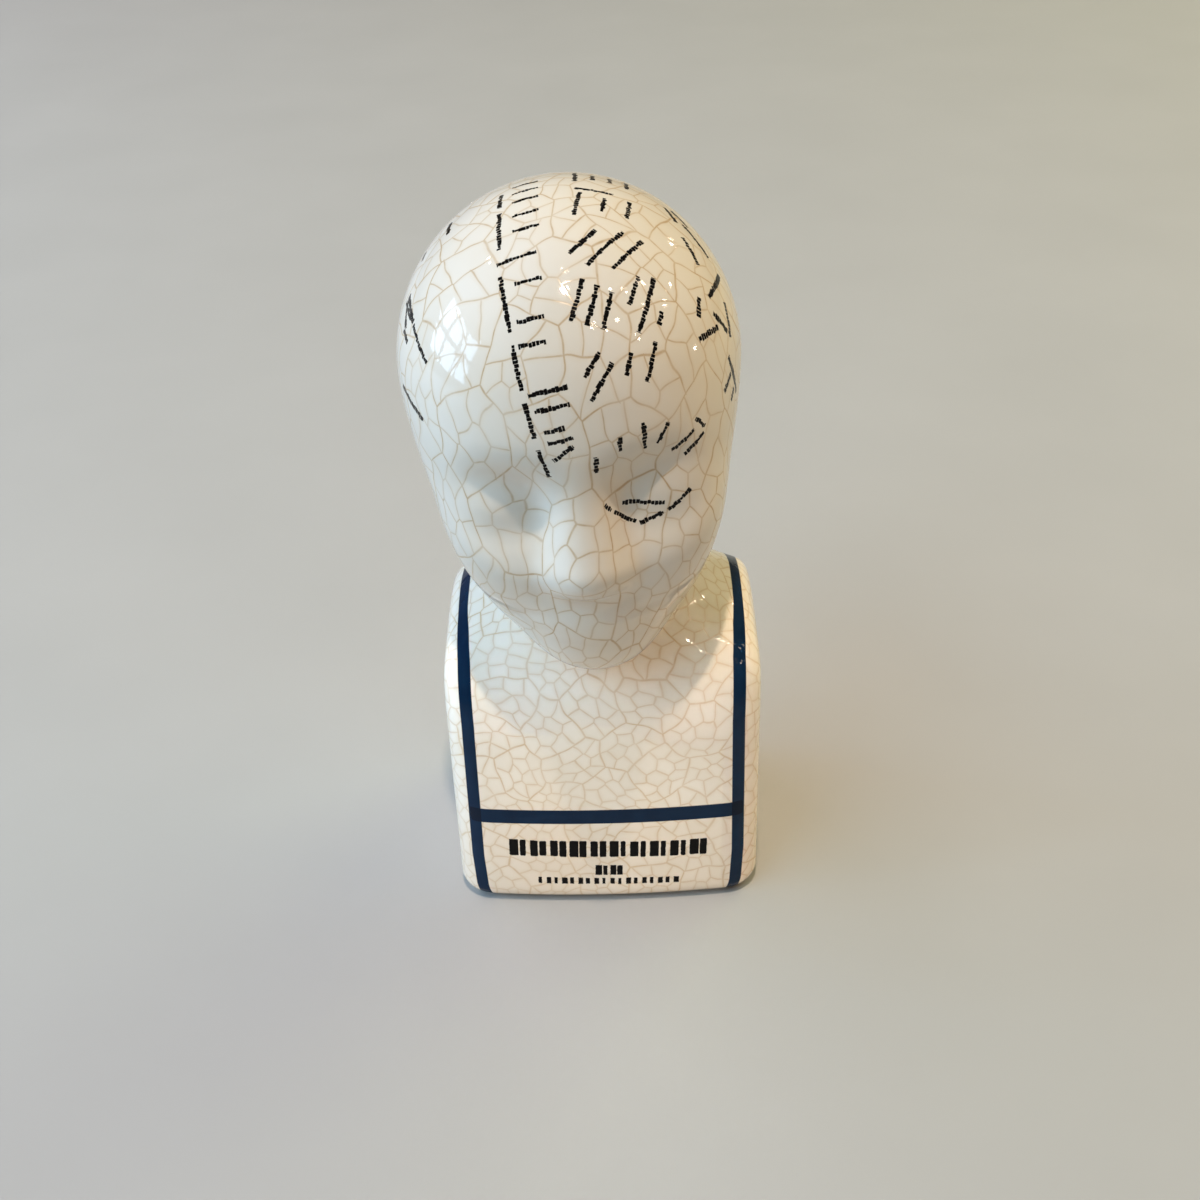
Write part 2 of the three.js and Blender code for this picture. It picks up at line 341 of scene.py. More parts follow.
# Block with round shoulders, a deeper round over chest and back, and a small round at the foot
def base(x, y, z):
    bulge = np.where(y < 0, FRONT_BULGE * np.maximum(1 - (2 * x / BASE_WIDTH) ** 2, 0), 0)
    side = np.abs(x) - BASE_WIDTH / 2 - EDGE_SOFTNESS / 4
    front = np.abs(y) - BASE_DEPTH / 2 - EDGE_SOFTNESS / 4 - bulge
    top = z - BASE_HEIGHT
    shoulders = round_edge(side, top, SHOULDER_RADIUS)
    chest = round_edge(front, top, CHEST_RADIUS)
    upper = meet(shoulders, chest, VAULT_SOFTNESS)
    block = meet(upper, round_edge(side, front, CORNER_RADIUS), EDGE_SOFTNESS)
    return round_edge(block, -z, FOOT_RADIUS)


# Base and neck
def body(x, y, z):
    return blend(base(x, y, z), bar(x, y, z, NECK_FOOT, NECK_TOP, NECK_RADII), NECK_FLOW)


# Smooth rise from 0 to 1
def smooth(t):
    t = np.clip(t, 0, 1)
    return t * t * (3 - 2 * t)


# Signed distance to the whole bust
def bust(x, y, z):
    behind = smooth((y - NAPE_START) / NAPE_LENGTH)
    return blend(head(x, y, z), body(x, y, z), CHIN_FLOW + (NAPE_FLOW - CHIN_FLOW) * behind)


# Distance and its slope in the upright sections through the axis, at a reach from it and a height
def sections(angles, reach, z):
    half = SLOPE_WIDTH / 2
    reaches = np.stack([reach, reach + half, reach - half, reach, reach])
    heights = np.stack([z, z, z, z + half, z - half])
    x = AXIS[0] + reaches * np.sin(angles)
    y = AXIS[1] - reaches * np.cos(angles)
    d = bust(x, y, heights)
    across = (d[1] - d[2]) / SLOPE_WIDTH
    up = (d[3] - d[4]) / SLOPE_WIDTH
    steepness = np.hypot(across, up)
    return d[0] / steepness, across / steepness, up / steepness


# Height of the crown over the axis, by halving
def crown_height():
    inside = CHIN_PLACE[2]
    outside = inside + 2 * HEAD_HEIGHT
    while outside - inside > CROWN_TOLERANCE:
        middle = (inside + outside) / 2
        if bust(np.array(AXIS[0]), np.array(AXIS[1]), np.array(middle)) < 0:
            inside = middle
        else:
            outside = middle
    return inside


# Outlines of all sections, walked together from the crown down to the underside
def outlines(angles, crown):
    reach = np.zeros(len(angles))
    z = np.full(len(angles), crown)
    reaches, heights = [reach], [z]
    while (z > UNDERSIDE_MARGIN).any():
        going = z > UNDERSIDE_MARGIN
        off, across, up = sections(angles, reach, z)
        next_reach = reach + up * STRIDE
        next_z = z - across * STRIDE
        for _ in range(SETTLE_STEPS):
            off, across, up = sections(angles, next_reach, next_z)
            next_reach = next_reach - across * off
            next_z = next_z - up * off
        reach = np.where(going, next_reach, reach)
        z = np.where(going, next_z, z)
        reaches.append(reach)
        heights.append(z)
    return np.stack(reaches, 1), np.stack(heights, 1)


# One column of skin points below the crown, as reach and height
def column(reach, z):
    run = np.concatenate([[0], np.cumsum(np.hypot(np.diff(reach), np.diff(z)))])
    last = int(np.argmax(run >= run[-1]))
    reach, z, run = reach[: last + 1], z[: last + 1], run[: last + 1]
    widest = int(np.argmax(z <= CHIN_PLACE[2] + HEAD_HEIGHT / 2))
    wall = int(np.argmax(z <= WALL_TOP))
    neck = widest + int(np.argmin(reach[widest:wall]))
    marks = [0, run[neck], run[wall], run[int(np.argmax(z <= FOOT_RADIUS))], run[-1]]
    places = []
    for stretch, rows in enumerate((HEAD_ROWS, CHEST_ROWS, WALL_ROWS, FOOT_ROWS)):
        t = np.arange(1, rows + 1) / rows
        if stretch == 0:
            t = t + CHIN_CROWDING * np.sin(pi * t)
        places.append(marks[stretch] + (marks[stretch + 1] - marks[stretch]) * t)
    places = np.concatenate(places)
    return np.interp(places, run, reach), np.interp(places, run, z)


# Skin points in bust coordinates: the crown, the columns, and the middle of the underside
def skin_points():
    crown = crown_height()
    turns = 2 * pi * np.arange(COLUMNS) / COLUMNS
    angles = turns - FACE_CROWDING * np.sin(turns)
    points = [np.array([[AXIS[0], AXIS[1], crown]])]
    for angle, reaches, heights in zip(angles, *outlines(angles, crown)):
        reach, z = column(reaches, heights)
        z[-1] = 0
        points.append(np.stack([AXIS[0] + reach * sin(angle), AXIS[1] - reach * cos(angle), z], 1))
    points.append(np.array([[AXIS[0], AXIS[1], 0]]))
    return np.concatenate(points)


# Triangles: a fan at the crown, strips down the columns and a fan over the flat underside
def skin_faces(count):
    rows = HEAD_ROWS + CHEST_ROWS + WALL_ROWS + FOOT_ROWS
    here = 1 + rows * np.arange(COLUMNS)
    there = np.roll(here, -1)
    crown = np.stack([np.zeros(COLUMNS, int), here, there], 1)
    underside = np.stack([np.full(COLUMNS, count - 1), there + rows - 1, here + rows - 1], 1)
    step = np.arange(rows - 1)
    a = (here[:, None] + step).ravel()
    b = (there[:, None] + step).ravel()
    strips = np.concatenate([np.stack([a, a + 1, b + 1], 1), np.stack([a, b + 1, b], 1)])
    return np.concatenate([crown, strips, underside])


# Map for baked pictures: the skin unrolled round the axis, with its seam at the back
def unroll(piece, points, faces):
    columns = np.concatenate([[0], np.repeat(np.arange(COLUMNS), len(points[1:-1]) // COLUMNS), [0]])
    grid = points[1:-1].reshape(COLUMNS, -1, 3)
    walk = np.concatenate([np.repeat(points[:1, None], COLUMNS, 0), grid], 1)
    walk = np.concatenate([walk, np.repeat(points[-1:, None], COLUMNS, 0)], 1)
    run = np.linalg.norm(np.diff(walk, axis=1), axis=2).mean(0).cumsum()
    up = 1 - run / run[-1]
    ups = np.concatenate([[1], np.tile(up[:-1], COLUMNS), [0]])
    across = (columns[faces] + COLUMNS // 2) % COLUMNS
    ends = (faces == 0) | (faces == len(points) - 1)
    first = np.where(ends, COLUMNS, across).min(1)
    last = np.where(ends, -1, across).max(1)
    wraps = last - first > 1
    across = np.where(wraps[:, None] & (across == 0), COLUMNS, across)
    middle = np.where(wraps, COLUMNS - 0.5, first + 0.5)
    across = np.where(ends, middle[:, None], across)
    layer = piece.data.uv_layers.new(name="OFBake")
    layer.data.foreach_set("uv", np.stack([across / COLUMNS, ups[faces]], 2).ravel())


# The bust's mesh object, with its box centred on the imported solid's box
def bust_piece(points, faces):
    low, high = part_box("phrenology_bust")
    middle = (points.min(0) + points.max(0)) / 2 * MM
    shift = np.array([(low.x + high.x) / 2 - middle[0], (low.y + high.y) / 2 - middle[1], low.z])
    mesh = bpy.data.meshes.new("glazed_bust")
    mesh.vertices.add(len(points))
    mesh.vertices.foreach_set("co", (points * MM + shift).ravel())
    mesh.loops.add(faces.size)
    mesh.loops.foreach_set("vertex_index", faces.ravel())
    mesh.polygons.add(len(faces))
    mesh.polygons.foreach_set("loop_start", np.arange(0, faces.size, 3))
    mesh.update(calc_edges=True)
    mesh.polygons.foreach_set("use_smooth", np.ones(len(faces), bool))
    piece = bpy.data.objects.new("glazed_bust", mesh)
    bpy.context.scene.collection.objects.link(piece)
    return piece, shift


# Values kept at each face corner, for the material to read
def corner_attribute(piece, name, values):
    kind, field = ("FLOAT_VECTOR", "vector") if values.ndim == 3 else ("FLOAT", "value")
    attribute = piece.data.attributes.new(name, kind, "CORNER")
    attribute.data.foreach_set(field, values.astype(np.float32).ravel())


# Signed distances to the two upright bands and to the cross band
def band_distances(points):
    x, y, z = points.T
    place = np.interp(z, RAIL_HEIGHTS, RAIL_PLACES)
    low_enough = z - BASE_HEIGHT - RAIL_WIDTH
    rails = np.maximum(np.abs(np.abs(x) - place) - RAIL_WIDTH / 2, low_enough)
    cross = np.abs(z - CROSS_BAND_HEIGHT) - CROSS_BAND_WIDTH / 2
    cross = np.maximum(cross, np.abs(x) - place - CROSS_BAND_OVERHANG)
    return rails, np.maximum(cross, y)


# Unit direction in the head's own axes, turned sideways and over the crown from the face
def look(side, over):
    s, o = radians(side), radians(over)
    return np.array([sin(s), -cos(s) * cos(o), cos(s) * sin(o)])


# Point on the skin in a direction from the middle of the cranium
def skin_point(side, over):
    middle = CHIN_PLACE + HEAD_POSE @ np.array(CRANIUM[0]) * HEAD_HEIGHT
    way = HEAD_POSE @ look(side, over)
    reach = HEAD_HEIGHT / 3
    for _ in range(SEARCH_STEPS):
        reach -= bust(*(middle + way * reach))
    return middle + way * reach


# Outward direction at a point on the skin
def skin_normal(point):
    steps = np.eye(3) * SLOPE_WIDTH
    slope = np.array([bust(*(point + step)) - bust(*(point - step)) for step in steps])
    return slope / np.linalg.norm(slope)


# Row of strokes: its middle, its own directions along and up, its length and style
def row(middle, along, size, style):
    normal = skin_normal(middle)
    along = along - normal * (along @ normal)
    along = along / np.linalg.norm(along)
    frame_of_row = np.array([along, np.cross(normal, along), normal])
    return {"middle": middle, "frame": frame_of_row, "length": size, "style": style}


# Row on the head round a place, turned from the sideways direction
def head_row(side, over, turn, size, style):
    middle = skin_point(side, over)
    up = HEAD_POSE @ np.array([0, sin(radians(over)), cos(radians(over))])
    across = np.cross(up, skin_normal(middle))
    return row(middle, across * cos(radians(turn)) + up * sin(radians(turn)), size, style)


# Rows end to end along a line of places
def chain(places, gap):
    rows = []
    for (side_a, over_a), (side_b, over_b) in zip(places, places[1:]):
        a, b = skin_point(side_a, over_a), skin_point(side_b, over_b)
        middle = skin_point((side_a + side_b) / 2, (over_a + over_b) / 2)
        rows.append(row(middle, b - a, np.linalg.norm(b - a) - gap, HEAD_STYLE))
    return rows


# Rows of groups, each of which steps sideways and over the crown by the same angles
def groups(table, style):
    return [
        head_row(first[0] + step[0] * i, first[1] + step[1] * i, turn, size, style)
        for first, step, turn, sizes in table
        for i, size in enumerate(sizes)
    ]


# Middle column of rows down the forehead, and the short rows beside it
def middle_column():
    rows = []
    for line in MIDDLE_LINES:
        rows += chain(line, MIDDLE_GAP)
    return rows + groups(MIDDLE_GROUPS, HEAD_STYLE)


# Rows over the left half of the head as the head sees it
def shown_half():
    return groups(SHOWN_GROUPS, HEAD_STYLE) + chain(LOW_LINE, LOW_GAP)


# Rows on the far sides
def far_sides():
    return groups(FAR_GROUPS, FAR_STYLE) + chain(FAR_LINE, FAR_GAP)


# Title rows, set on the front skin of the base
def title_rows():
    rows = []
    for z, shift_aside, size, style in TITLE_ROWS:
        y = -BASE_DEPTH / 2 - FRONT_BULGE
        middle = np.array([shift_aside, y, z])
        middle[1] += bust(*middle)
        rows.append(row(middle, np.array([1.0, 0, TITLE_SLOPE]), size, style))
    return rows


# Strokes at each face corner: number along the row, height over its middle, and distance past its end
def stroke_attributes(piece, points, faces, rows):
    centres = points[faces].mean(1)
    nearest = np.full(len(faces), FAR)
    chosen = np.full(len(faces), -1)
    for index, r in enumerate(rows):
        p = (centres - r["middle"]) @ r["frame"].T
        edge = np.maximum(np.abs(p[:, 0]) - r["length"] / 2, np.abs(p[:, 1]) - r["style"][0] / 2)
        edge = np.maximum(edge, np.abs(p[:, 2]) - r["length"] / 2 - ROW_DEPTH_MARGIN)
        closer = edge < nearest
        nearest[closer] = edge[closer]
        chosen[closer] = index
    chosen[nearest > ROW_MARGIN] = -1
    marks = np.full((len(faces), 3, 3), FAR)
    styles = np.zeros((2, len(faces), 3, 3))
    for index, r in enumerate(rows):
        mine = chosen == index
        p = (points[faces[mine]] - r["middle"]) @ r["frame"].T
        marks[mine, :, 0] = p[..., 0] / r["style"][1] + FAR * 2 * index
        marks[mine, :, 1] = p[..., 1]
        marks[mine, :, 2] = np.abs(p[..., 0]) - r["length"] / 2
        styles[0, mine] = r["style"][:3]
        styles[1, mine] = r["style"][3:]
    corner_attribute(piece, "strokes", marks)
    corner_attribute(piece, "stroke_sizes", styles[0])
    corner_attribute(piece, "stroke_forms", styles[1])


# Points moved by smooth noise, so that crack lines wander
def wandering(points):
    noise.seed_set(SEED)
    moved = points.copy()
    for wavelength, amount in CRACK_WANDER:
        for index, p in enumerate(points):
            moved[index] += np.array(noise.noise_vector(Vector(p) / wavelength)) * amount
    return moved


# Spread of seeds over the faces, no closer together than the spacing at each
def scatter(centres, areas, spacing, rng):
    order = rng.choice(len(centres), size=SEED_DRAWS, p=areas / areas.sum())
    kept = np.zeros((0, 3))
    picked = []
    for index in order:
        p = centres[index]
        if len(kept) == 0 or ((kept - p) ** 2).sum(1).min() > (SEED_GAP * spacing[index]) ** 2:
            kept = np.vstack([kept, p])
            picked.append(index)
    return np.array(picked)


# Signed distance of each corner to the border between two seeds of its face, in heights not squeezed
def border(corners, squeeze, a, b):
    way = a - b
    steepness = np.sqrt(way[:, 0] ** 2 + way[:, 1] ** 2 + (way[:, 2] * squeeze) ** 2)
    return ((corners - ((a + b) / 2)[:, None]) * (way / steepness[:, None])[:, None]).sum(2)


# Faces of each parent cell, and its own seeds, as numbers
def families(parents, seed_parents):
    order = np.argsort(parents, kind="stable")
    starts = np.searchsorted(parents[order], np.arange(parents.max() + 2))
    for parent, (start, end) in enumerate(zip(starts, starts[1:])):
        yield order[start:end], np.flatnonzero(seed_parents == parent)


# Seeds moved to the middles of their cells a few times, so that cells grow even and meet at wide angles
def relax(centres, areas, parents, seeds, seed_parents):
    for mine, own in list(families(parents, seed_parents)) * RELAX_ROUNDS:
        if len(own) == 0:
            continue
        gaps = ((centres[mine][:, None] - seeds[own][None]) ** 2).sum(2)
        cells = gaps.argmin(1)
        weights = np.bincount(cells, areas[mine], len(own)) + AREA_FLOOR
        for axis in range(3):
            sums = np.bincount(cells, areas[mine] * centres[mine, axis], len(own))
            seeds[own, axis] = sums / weights


# One level of cells inside the cells of the level above: border distances and cell numbers
def crack_level(corners, centres, areas, squeeze, parents, picked):
    seeds = centres[picked]
    seed_parents = parents[picked]
    relax(centres, areas, parents, seeds, seed_parents)
    nearest = np.zeros((len(centres), 3), int)
    padded = np.vstack([seeds, OUT_OF_REACH * np.eye(3)[::-1]])
    spare = len(seeds) + np.arange(3)
    for mine, own in families(parents, seed_parents):
        own = np.concatenate([own, spare])
        gaps = ((centres[mine][:, None] - padded[own][None]) ** 2).sum(2)
        nearest[mine] = own[np.argsort(gaps, 1)[:, :3]]
    a, b, c = (padded[nearest[:, k]] for k in range(3))
    values = np.stack([border(corners, squeeze, p, q) for p, q in ((a, b), (a, c), (b, c))], 2)
    lonely = nearest[:, 0] >= len(seeds)
    cells = np.where(lonely, len(seeds) + parents, nearest[:, 0])
    values[lonely] = (FAR, FAR, FAR)
    return np.clip(values, -FAR, FAR), np.unique(cells, return_inverse=True)[1]


# Crackle at each face corner: three levels of border distances, and each small cell's tone and tilt
def crackle(piece, points, faces):
    rng = np.random.default_rng(SEED)
    moved = wandering(points)
    on_base = smooth((head(*points.T) - body(*points.T)) / CRACK_STRETCH_RUN + 0.5)
    squeeze = 1 / (CRACK_STRETCH + (1 - CRACK_STRETCH) * on_base)
    moved[:, 2] = BASE_HEIGHT + (moved[:, 2] - BASE_HEIGHT) * squeeze
    corners = moved[faces]
    centres = corners.mean(1)
    sides = corners[:, 1:] - corners[:, :1]
    areas = np.linalg.norm(np.cross(sides[:, 0], sides[:, 1]), axis=1)
    squeeze = squeeze[faces].mean(1)
    low = smooth((CRACK_CHANGE_HEIGHT - points[faces].mean(1)[:, 2]) / CRACK_CHANGE_RUN)
    cells = np.zeros(len(faces), int)
    for level, (wide, narrow) in enumerate(CRACK_SPACINGS):
        spacing = wide + (narrow - wide) * low
        picked = scatter(centres, areas, spacing, rng)
        values, cells = crack_level(corners, centres, areas, squeeze, cells, picked)
        corner_attribute(piece, f"crack_{level}", values)
    count = cells.max() + 1
    tone = rng.uniform(0, 1, count)
    tilt = rng.normal(0, 1, (count, 3))
    corner_attribute(piece, "cell_tone", np.repeat(tone[cells][:, None], 3, 1))
    middles = np.stack([np.bincount(cells, centres[:, k]) for k in range(3)], 1)
    middles /= np.bincount(cells)[:, None]
    tilted = (corners - middles[cells][:, None]) * tilt[cells][:, None]
    corner_attribute(piece, "cell_tilt", tilted.sum(2))


# Short names for building a material's node tree
class Tree:
    def __init__(self, material):
        material.use_nodes = True
        self.nodes = material.node_tree.nodes
        self.links = material.node_tree.links
        self.shader = self.nodes["Principled BSDF"]
        self.place = self.node("ShaderNodeTexCoord").outputs["Object"]

    # New node with its settings and inputs
    def node(self, kind, inputs=(), **settings):
        node = self.nodes.new(kind)
        for name, value in settings.items():
            setattr(node, name, value)
        for name, value in dict(inputs).items():
            self.put(value, node.inputs[name])
        return node

    # Link or plain value into a socket
    def put(self, value, socket):
        if isinstance(value, bpy.types.NodeSocket):
            self.links.new(value, socket)
        else:
            socket.default_value = value

    # Result of one operation
    def math(self, operation, a, b=0.0, c=0.0):
        return self.node("ShaderNodeMath", {0: a, 1: b, 2: c}, operation=operation).outputs[0]

    # Smooth rise or fall between two levels
    def step(self, value, low, high, to_low=0.0, to_high=1.0):
        inputs = {"Value": value, "From Min": low, "From Max": high, "To Min": to_low, "To Max": to_high}
        return self.node("ShaderNodeMapRange", inputs, interpolation_type="SMOOTHSTEP").outputs[0]

    # Mix of two colours
    def mix(self, factor, a, b):
        node = self.node("ShaderNodeMix", data_type="RGBA")
        self.put(factor, node.inputs["Factor"])
        self.put(a, node.inputs[6])
        self.put(b, node.inputs[7])
        return node.outputs[2]

    # Value kept at the face corners
    def attribute(self, name, output="Fac"):
        return self.node("ShaderNodeAttribute", attribute_name=name).outputs[output]

    # Three parts of a vector
    def parts(self, vector):
        return self.node("ShaderNodeSeparateXYZ", {"Vector": vector}).outputs

    # Noise with a wavelength in millimetres
    def noise(self, wavelength, detail, distortion=0.0):
        inputs = {"Vector": self.place, "Scale": 1 / (wavelength * MM), "Detail": detail,
                  "Distortion": distortion}
        return self.node("ShaderNodeTexNoise", inputs).outputs["Fac"]

    # Noise with a wavelength and detail, as a smooth rise between two of its levels
    def patches(self, wavelength, detail, low, high, to_low=0.0, to_high=1.0):
        return self.step(self.noise(wavelength, detail), low, high, to_low, to_high)

    # Relief of the surface
    def bump(self, height, depth, strength):
        node = self.node("ShaderNodeBump", {"Height": height, "Distance": depth, "Strength": strength})
        self.put(node.outputs["Normal"], self.shader.inputs["Normal"])


# Opaque colour
def colour(red, green, blue):
    return (red, green, blue, 1.0)


# Ivory from its darker to its lighter clouds, at the foot, on the chest and on the head; the head's is
# darker as painted shade, the chest's lighter as painted light, and the foot's darker as painted shade
FOOT_IVORY_PAINTED_SHADE = (colour(0.85, 0.735, 0.60), colour(0.875, 0.775, 0.65))
CHEST_IVORY_PAINTED_LIGHT = (colour(0.895, 0.815, 0.70), colour(0.925, 0.86, 0.765))
HEAD_IVORY_PAINTED_SHADE = (colour(0.67, 0.615, 0.53), colour(0.705, 0.655, 0.58))
IVORY_CLOUDS = (26, 3.0, 0.35, 0.65)

# Heights over which the foot's ivory with painted shade becomes the chest's with painted light, and the
# chest's the head's with painted shade
FOOT_TO_CHEST = (14 * MM, 34 * MM)
CHEST_TO_HEAD = (52 * MM, 68 * MM)

# Darker tone of some crackle cells, and the most of it that a cell has
CELL_SHADE = colour(0.72, 0.63, 0.49)
CELL_SHADE_SHARE = 0.16

# Crack lines: half width and strength at each level, softness of edge, and how much fainter on the base
CRACK_LINES = ((0.15, 0.92), (0.14, 0.84), (0.125, 0.74))
CRACK_EDGE = 0.11
CRACK_BASE_SHARE = 0.7
CRACK_PATCHES = (11, 4.0, 0.38, 0.62, 0.6, 1.0)
CRACK_FLECKS = (1.6, 2.0, 0.3, 0.7, 0.7, 1.0)

# Stain of the lines on base and head, and the faint stain beside them
BASE_STAIN = colour(0.60, 0.39, 0.165)
HEAD_STAIN = colour(0.44, 0.305, 0.165)
HALO = colour(0.62, 0.45, 0.25)
HALO_WIDTH = 0.9
HALO_SHARE = 0.16

# Navy of the bands from its darker to its lighter streaks, darker where two bands cross
NAVY = (colour(0.0015, 0.010, 0.030), colour(0.005, 0.024, 0.062))
NAVY_STREAKS = (5, 4.0, 0.4)
CROSSING_NAVY = colour(0.0015, 0.004, 0.012)
CROSSING_SHARE = 0.7
BAND_EDGE = 0.07

# Black strokes: half widths as shares of the pitch, ragged edges, and softness of edges and row ends
INK = colour(0.004, 0.0035, 0.0035)
STROKE_HALF_WIDTHS = (0.38, 0.5)
RAGGED_NOISE = (0.45, 1.0)
RAGGED_DEPTH = 0.2
INK_EDGE = (-0.05, 0.03)
ROW_END_EDGE = (0.05, -0.05)

# Gloss: roughness in patches and along the lines, and the shine of bare glaze and of paint
GLAZE_IOR = 1.52
ROUGHNESS_PATCHES = (6, 4.0, 0.3, 0.7, 0.03, 0.07)
CRACK_ROUGHNESS = 0.22
SHINE = (0.5, 0.1)
BAND_COVER = 0.75

# Relief in millimetres: width and height of the pillow over each cell, slow waves, and tilt of the cells
PILLOW_WIDTH = 0.7
PILLOW_HEIGHT = 0.012
WAVE_NOISE = (7, 2.0)
WAVE_HEIGHT = 0.09
TILT_HEIGHT = 0.004
RELIEF_STRENGTH = 1.0


# Distance to the nearest crack of one level
def crack_distance(tree, level):
    ab, ac, bc = tree.parts(tree.attribute(f"crack_{level}", "Vector"))
    in_a = tree.math("MINIMUM", ab, ac)
    in_b = tree.math("MINIMUM", tree.math("MULTIPLY", ab, -1), bc)
    in_c = tree.math("MINIMUM", tree.math("MULTIPLY", ac, -1), tree.math("MULTIPLY", bc, -1))
    return tree.math("MAXIMUM", tree.math("MAXIMUM", in_a, in_b), in_c)


# How much crack line there is, stronger and weaker in patches, and the distance to the nearest crack
def crack_lines(tree, height):
    lines = 0.0
    nearest = FAR
    for level, (half_width, strength) in enumerate(CRACK_LINES):
        distance = crack_distance(tree, level)
        line = tree.step(distance, half_width + CRACK_EDGE, half_width - CRACK_EDGE)
        lines = tree.math("MAXIMUM", lines, tree.math("MULTIPLY", line, strength))
        nearest = tree.math("MINIMUM", nearest, distance)
    lines = tree.math("MULTIPLY", lines, tree.patches(*CRACK_PATCHES))
    lines = tree.math("MULTIPLY", lines, tree.patches(*CRACK_FLECKS))
    lines = tree.math("MULTIPLY", lines, tree.step(height, *CHEST_TO_HEAD, CRACK_BASE_SHARE, 1.0))
    return lines, nearest


# Ivory of foot, chest and head, with painted shade on the foot and head and painted light on the chest,
# and slightly different tones from cell to cell
def ivory_with_painted_light(tree, height, on_head):
    clouds = tree.patches(*IVORY_CLOUDS)
    foot, chest, crown = (tree.mix(clouds, *pair) for pair in (FOOT_IVORY_PAINTED_SHADE, CHEST_IVORY_PAINTED_LIGHT, HEAD_IVORY_PAINTED_SHADE))
    plain = tree.mix(on_head, tree.mix(tree.step(height, *FOOT_TO_CHEST), foot, chest), crown)
    shade = tree.step(tree.attribute("cell_tone"), 0, 1, 0.0, CELL_SHADE_SHARE)
    return tree.mix(shade, plain, CELL_SHADE)


# How much band there is, and its colour
def bands(tree):
    rail, cross = (
        tree.step(tree.attribute(f"{name}_distance"), BAND_EDGE, -BAND_EDGE) for name in ("rail", "cross")
    )
    crossing = tree.math("MULTIPLY", tree.math("MULTIPLY", rail, cross), CROSSING_SHARE)
    navy = tree.mix(crossing, tree.mix(tree.noise(*NAVY_STREAKS), *NAVY), CROSSING_NAVY)
    return tree.math("MAXIMUM", rail, cross), navy


# Rows of strokes: upright bars of random width and height, one to each pitch
def strokes(tree):
    number, height, past_end = tree.parts(tree.attribute("strokes", "Vector"))
    tall, pitch, shortest = tree.parts(tree.attribute("stroke_sizes", "Vector"))
    weight, pairing, roundness = tree.parts(tree.attribute("stroke_forms", "Vector"))
    cell = tree.math("FLOOR", number)
    draw = tree.node("ShaderNodeTexWhiteNoise", {"W": cell}, noise_dimensions="1D").outputs["Color"]
    first, second, third = tree.node("ShaderNodeSeparateColor", {"Color": draw}).outputs
    odd = tree.math("SUBTRACT", tree.math("MULTIPLY", tree.math("FLOORED_MODULO", cell, 2.0), 2.0), 1.0)
    middle = tree.math("SUBTRACT", 0.5, tree.math("MULTIPLY", odd, pairing))
    across = tree.math("ABSOLUTE", tree.math("SUBTRACT", tree.math("SUBTRACT", number, cell), middle))
    thick = tree.math("MULTIPLY", tree.step(first, 0, 1, *STROKE_HALF_WIDTHS), weight)
    half = tree.math("SUBTRACT", thick, tree.math("MULTIPLY", tree.math("ADD", odd, 1.0), pairing))
    side = tree.math("MULTIPLY", tree.math("SUBTRACT", half, across), pitch)
    half_tall = tree.math("MULTIPLY", tall, 0.5)
    rise = tree.math("MULTIPLY", tree.step(second, 0, 1, shortest, 1.0), half_tall)
    drop = tree.math("MULTIPLY", tree.step(third, 0, 1, shortest, 1.0), half_tall)
    ends = tree.math("MINIMUM", tree.math("SUBTRACT", rise, height), tree.math("ADD", drop, height))
    ragged = tree.math("MULTIPLY", tree.math("SUBTRACT", tree.noise(*RAGGED_NOISE), 0.5), RAGGED_DEPTH)
    inside = tree.math("ADD", tree.math("SMOOTH_MIN", side, ends, roundness), ragged)
    return tree.math("MULTIPLY", tree.step(inside, *INK_EDGE), tree.step(past_end, *ROW_END_EDGE))


# Gloss, a little duller along the lines and much weaker over paint
def gloss(tree, lines, band, ink):
    rough = tree.patches(*ROUGHNESS_PATCHES)
    rough = tree.math("ADD", rough, tree.math("MULTIPLY", lines, CRACK_ROUGHNESS))
    tree.put(rough, tree.shader.inputs["Roughness"])
    painted = tree.math("MAXIMUM", tree.math("MULTIPLY", band, BAND_COVER), ink)
    tree.put(tree.step(painted, 0, 1, *SHINE), tree.shader.inputs["Specular IOR Level"])
    tree.put(GLAZE_IOR, tree.shader.inputs["IOR"])


# Pillow over each cell, slow waves and tilt of the cells
def relief(tree, nearest):
    pillow = tree.step(nearest, 0.0, PILLOW_WIDTH, 0.0, PILLOW_HEIGHT)
    wave = tree.math("MULTIPLY", tree.noise(*WAVE_NOISE), WAVE_HEIGHT)
    tilt = tree.math("MULTIPLY", tree.attribute("cell_tilt"), TILT_HEIGHT)
    tree.bump(tree.math("ADD", tree.math("ADD", pillow, wave), tilt), MM, RELIEF_STRENGTH)


# Crackle glaze over ivory, with the bands and strokes under it
def glaze_material():
    material = bpy.data.materials.new("crackle_glaze")
    tree = Tree(material)
    height = tree.parts(tree.place)[2]
    on_head = tree.step(height, *CHEST_TO_HEAD)
    lines, nearest = crack_lines(tree, height)
    halo = tree.math("MULTIPLY", tree.step(nearest, HALO_WIDTH, 0.0), HALO_SHARE)
    # Ivory here carries painted shade on the foot and head and painted light on the chest
    glaze = tree.mix(halo, ivory_with_painted_light(tree, height, on_head), HALO)
    glaze = tree.mix(lines, glaze, tree.mix(on_head, BASE_STAIN, HEAD_STAIN))
    band, navy = bands(tree)
    ink = strokes(tree)
    skin = tree.mix(ink, tree.mix(band, glaze, navy), INK)
    tree.put(skin, tree.shader.inputs["Base Color"])
    gloss(tree, lines, band, ink)
    relief(tree, nearest)
    return material


